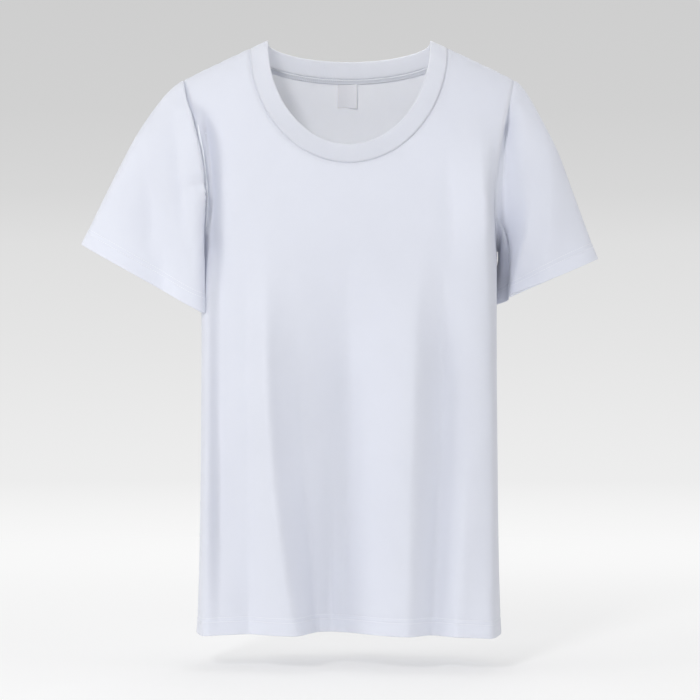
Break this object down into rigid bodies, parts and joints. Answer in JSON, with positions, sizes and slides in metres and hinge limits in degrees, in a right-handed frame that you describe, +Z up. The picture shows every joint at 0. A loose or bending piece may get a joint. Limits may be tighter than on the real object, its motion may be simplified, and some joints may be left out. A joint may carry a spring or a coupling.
{
  "type": "crew neck t-shirt",
  "caption": "Short-sleeved crew neck t-shirt, filled out as if worn, with an open neck, hem and cuffs.",
  "frame": {"origin": "midway between the two points where the shoulder seams meet the neck, where the wearer's shoulders hold the shirt up", "axes": "+Z up, towards the neck; -Y is the front of the shirt; +X is the wearer's left"},
  "size_m": [0.616, 0.2115, 0.7097],
  "materials": {
    "cotton_jersey": "matte",
    "rib_knit": "matte",
    "label_tape": "satin"
  },
  "bodies": {
    "root": {"front_panel": "cotton_jersey", "back_panel": "cotton_jersey", "left_sleeve": "cotton_jersey", "right_sleeve": "cotton_jersey", "neck_rib": "rib_knit", "neck_label": "label_tape"}
  },
  "joints": []
}
